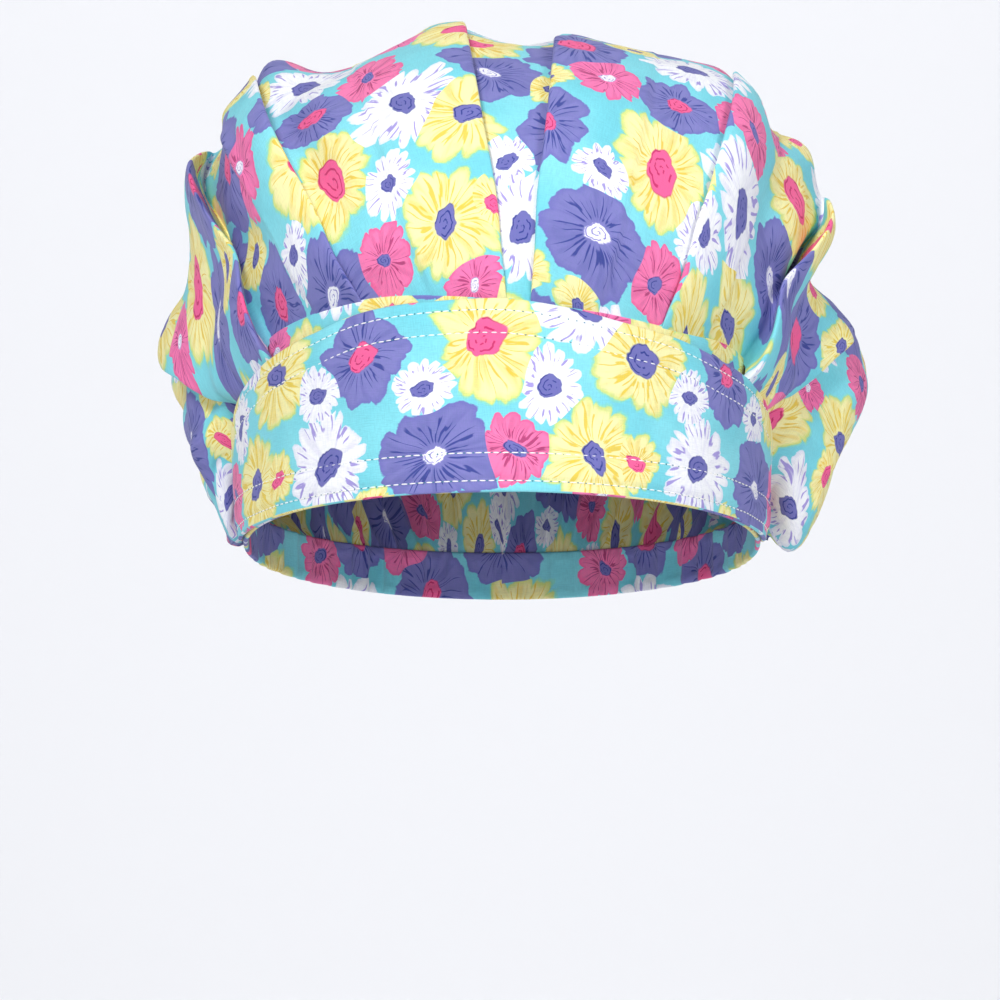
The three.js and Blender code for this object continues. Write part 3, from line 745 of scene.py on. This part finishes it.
def makeBand():
    angles = np.linspace(-180, 180, band["columns"] + 1)[:-1]
    ripple = bandRipple(angles)
    shares = np.linspace(0, 1, band["faceRows"])[:, None]
    height = seamRise(angles)[None, :]

    def face(out):
        # the casing is pressed flat by its stitching near both edges
        press = 1 - sum(band["press"] * np.exp(-((shares - row) / band["pressWidth"]) ** 2)
                        for row in band["stitchedRows"])
        rise = height * mix(0.012, 0.988, shares)
        return headPoint(angles[None, :] + 0 * shares, out + ripple[None, :] * press, rise)

    outer, inner = face(band["wall"]), face(0.0)
    points = np.concatenate([outer, roundEdge(outer[-1:], inner[-1:], 1, 3), inner[::-1],
                             roundEdge(inner[:1], outer[:1], -1, 3)], axis=0)
    around = np.linalg.norm(np.diff(np.concatenate([points, points[:, :1]], axis=1), axis=1), axis=2)
    across = np.concatenate([[0], np.cumsum(around[0])])[None, :] + np.zeros((len(points) + 1, 1))
    # the print meets itself at the back: a whole number of repeats goes round
    across *= round(across[0, -1] / tile["width"]) * tile["width"] / across[0, -1]
    stepsUp = np.linalg.norm(np.diff(np.concatenate([points, points[:1]], axis=0), axis=0), axis=2)
    up = np.concatenate([np.zeros((1, points.shape[1])), np.cumsum(stepsUp, axis=0)], axis=0)
    up = np.concatenate([up, up[:, :1]], axis=1)
    uv = np.stack([across, up], axis=-1)
    piece = gridMesh("headband_cloth", points, uv, loopRows=True, loopColumns=True)
    piece.data.materials.append(bandCotton)
    return piece, float(around[0].sum())


bandPiece, bandLength = makeBand()
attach(bandPiece, "root")
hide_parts("headband")
print("band ready")


# The turned-up brim and its topstitching

brim = dict(
    clear=2.5, edge=1.5, body=2.5, edgeWidth=5, lean=1.8, reach=91, taper=2.0,
    endPress=0.75, pressFrom=74, pressTo=88, endRise=2.4, riseFrom=79,
    wave=0.6, waveWidth=24, ripple=0.25, rippleWidth=9,
    columns=480, crowding=1.45, faceRows=44, backRows=12,
)
# Stitched rows: from the top edge or the bottom one, and how far
stitchRows = [("top", 2.8), ("top", 9.5), ("bottom", 2.8), ("bottom", 11.0)]
# hole, holeGap and holeLift size and place the discs of painted shade in the needle holes
stitch = dict(
    pitch=2.7, length=1.9, radius=0.22, groove=0.55, grooveWidth=0.9, hole=0.26, holeGap=0.4,
    reach=88.5, lowest=dict(bottom=2.0, top=13.5), clearTop=2.0, lift=0.04, holeLift=0.12,
)


# How high over the rim a row of stitches runs at an angle.
def rowRise(edge, off, angle):
    if edge == "bottom":
        return off + 0 * angle
    step = 0.5
    width = 2 * math.radians(step) * head["middleRadius"]
    slope = (brimRise(angle + step) - brimRise(angle - step)) / width
    return brimRise(angle) - off * np.sqrt(1 + slope ** 2)


# 1 along the brim, going round to 0 at each of its two ends.
def brimEnd(angle):
    return np.sqrt(1 - (1 - np.clip((brim["reach"] - np.abs(angle)) / brim["taper"], 0, 1)) ** 2)


# How far out the brim's outer face is from the head opening.
def brimOut(angle, rise):
    height = brimRise(angle)
    share = np.clip(rise / np.maximum(height, 1), 0, 1)
    nearEdge = np.minimum(rise, height - rise)
    thick = mix(brim["edge"], brim["body"], smooth(nearEdge, 0, brim["edgeWidth"]))
    for edge, off in stitchRows:
        away = rise - rowRise(edge, off, angle)
        groove = stitch["groove"] * np.exp(-(away / stitch["grooveWidth"]) ** 2)
        thick = thick - groove * smooth(height, 10, 20)
    return brimInside(angle, share) + thick * brimEnd(angle)


# How far out its inner face is: closer to the band at the two ends.
def brimInside(angle, share):
    clear = brim["clear"] - brim["endPress"] * smooth(np.abs(angle), brim["pressFrom"], brim["pressTo"])
    return clear + brim["lean"] * share * brimRise(angle) / head["brimHeight"]


# A point of the brim, which rises a little at its two ends.
def brimPoint(angle, out, rise):
    lift = brim["endRise"] * smooth(np.abs(angle), brim["riseFrom"], brim["reach"])
    return headPoint(angle, out, rise + lift)


# The brim's slight unevenness, the same for its cloth and its thread.
def brimWave(points):
    wave = brim["wave"] * crumple(points * (1, 1, 0.4), brim["waveWidth"], 5)
    return wave + brim["ripple"] * crumple(points, brim["rippleWidth"], 6)


def makeBrim():
    # columns close together at the two ends
    crowding = brim["crowding"]
    angles = brim["reach"] * np.sin(np.linspace(-1, 1, brim["columns"]) * crowding) / math.sin(crowding)
    height = brimRise(angles)[None, :]
    shares = np.linspace(0, 1, brim["faceRows"])[:, None]
    shares = mix(shares, smooth(shares, 0, 1), 0.35)
    rise = height * shares
    grid = angles[None, :] + 0 * shares
    outer = brimPoint(grid, brimOut(grid, rise), rise)
    outer = outer + headNormal(grid) * (brimWave(outer) * brimEnd(grid))[..., None]
    back = np.linspace(0, 1, brim["backRows"])[:, None]
    backGrid = angles[None, :] + 0 * back
    inner = brimPoint(backGrid, brimInside(backGrid, back), height * back)
    points = np.concatenate([outer, roundEdge(outer[-1:], inner[-1:], 0.8, 3), inner[::-1],
                             roundEdge(inner[:1], outer[:1], -0.8, 3)], axis=0)
    around = np.linalg.norm(np.diff(outer[0], axis=0), axis=1)
    across = np.concatenate([[0], np.cumsum(around)])[None, :] + np.zeros((len(points) + 1, 1))
    stepsUp = np.linalg.norm(np.diff(np.concatenate([points, points[:1]], axis=0), axis=0), axis=2)
    up = np.concatenate([np.zeros((1, points.shape[1])), np.cumsum(stepsUp, axis=0)], axis=0)
    piece = gridMesh("brim_cloth", points, np.stack([across, up], axis=-1), loopRows=True)
    # the section comes to a line at the two ends, and welding it closes them
    shape = bmesh.new()
    shape.from_mesh(piece.data)
    bmesh.ops.remove_doubles(shape, verts=shape.verts, dist=0.00002)
    shape.to_mesh(piece.data)
    shape.free()
    piece.data.materials.append(brimCotton)
    return piece, float(around.sum())


brimPiece, brimLength = makeBrim()
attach(brimPiece, "root")
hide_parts("brim")
print("brim ready")


# One small shape's points and faces, made by an operator.
def template(operator, **settings):
    bpy.ops.object.select_all(action="DESELECT")
    operator(**settings)
    made = bpy.context.object
    points = np.array([corner.co[:] for corner in made.data.vertices])
    faces = [tuple(face.vertices) for face in made.data.polygons]
    bpy.data.objects.remove(made)
    return points, faces


# Copies of a shape along a path: origins and three directions for each copy, in millimetres.
def copies(shape, origins, along, side, out):
    points, faces = shape
    placed = (origins[:, None] + points[None, :, :1] * along[:, None]
              + points[None, :, 1:2] * side[:, None] + points[None, :, 2:] * out[:, None])
    return placed.reshape(-1, 3), [tuple(len(points) * copy + corner for corner in face)
                                   for copy in range(len(origins)) for face in faces]


# White lockstitches lying on the brim: rounded dashes, with a needle hole after each, drawn as a dark disc
# of painted shade.
def makeThread():
    dash = template(bpy.ops.mesh.primitive_uv_sphere_add, segments=8, ring_count=6, radius=1,
                    rotation=(0, math.pi / 2, 0))
    dash = (dash[0] @ np.array([[0, 0, -1], [0, 1, 0], [1, 0, 0]]), dash[1])
    # fuller towards its ends than an egg is
    dash[0][:, 0] = np.sign(dash[0][:, 0]) * np.abs(dash[0][:, 0]) ** 0.7
    hole = template(bpy.ops.mesh.primitive_circle_add, vertices=8, radius=1, fill_type="NGON")
    points, faces, slots, first = [], [], [], 0
    for row, (edge, off) in enumerate(stitchRows):
        fine = np.arange(-stitch["reach"], stitch["reach"], 0.1)
        rise = rowRise(edge, off, fine)
        fits = (rise > stitch["lowest"][edge]) & (rise < brimRise(fine) - stitch["clearTop"])
        fine, rise = fine[fits], rise[fits]
        path = brimPoint(fine, brimOut(fine, rise), rise)
        path = path + headNormal(fine) * brimWave(path)[:, None]
        gone = np.concatenate([[0], np.cumsum(np.linalg.norm(np.diff(path, axis=0), axis=1))])
        starts = np.arange(0.3, gone[-1] - 2 * stitch["pitch"], stitch["pitch"])
        starts = starts + 0.18 * np.sin(starts * 2.3 + row)
        lengths = stitch["length"] * (1 + 0.08 * np.sin(starts * 1.7 + 2 * row))

        def at(distance):
            return np.stack([np.interp(distance, gone, path[:, axis]) for axis in range(3)], axis=-1)

        startPoints, endPoints = at(starts), at(starts + lengths)
        middle = (startPoints + endPoints) / 2
        out = headNormal(np.interp(starts, gone, fine))
        along = unit(endPoints - startPoints)
        side = unit(np.cross(along, out))
        skew = 0.05 * np.sin(starts * 3.1 + row)[:, None]
        half = (along + side * skew) * lengths[:, None] / 2
        for shape, slot, origins, directions in (
            (dash, 0, middle + out * stitch["lift"],
             (half, side * stitch["radius"], out * stitch["radius"])),
            (hole, 1, at(starts + lengths + stitch["holeGap"]) + out * stitch["holeLift"],
             (along * stitch["hole"], side * stitch["hole"], out)),
        ):
            more, newFaces = copies(shape, origins, *directions)
            points.append(more)
            faces += [tuple(corner + first for corner in face) for face in newFaces]
            slots += [slot] * len(newFaces)
            first += len(more)
    mesh = bpy.data.meshes.new("brim_stitches")
    mesh.from_pydata((np.concatenate(points) * mm).tolist(), [], faces)
    mesh.polygons.foreach_set("material_index", slots)
    mesh.shade_smooth()
    piece = bpy.data.objects.new("brim_stitches", mesh)
    bpy.context.scene.collection.objects.link(piece)
    # the needle holes are flat discs coloured as painted shade
    for name, color, roughness in (("white polyester thread", "#F8F7F2", 0.55),
                                   ("shadowed needle hole", "#4C8290", 0.95)):
        material = bpy.data.materials.new(name)
        material.use_nodes = True
        shader = material.node_tree.nodes["Principled BSDF"]
        shader.inputs["Base Color"].default_value = linear(color)
        shader.inputs["Roughness"].default_value = roughness
        mesh.materials.append(material)
    return piece


stitches = makeThread()
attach(stitches, "root")
print("stitches ready", len(stitches.data.polygons))
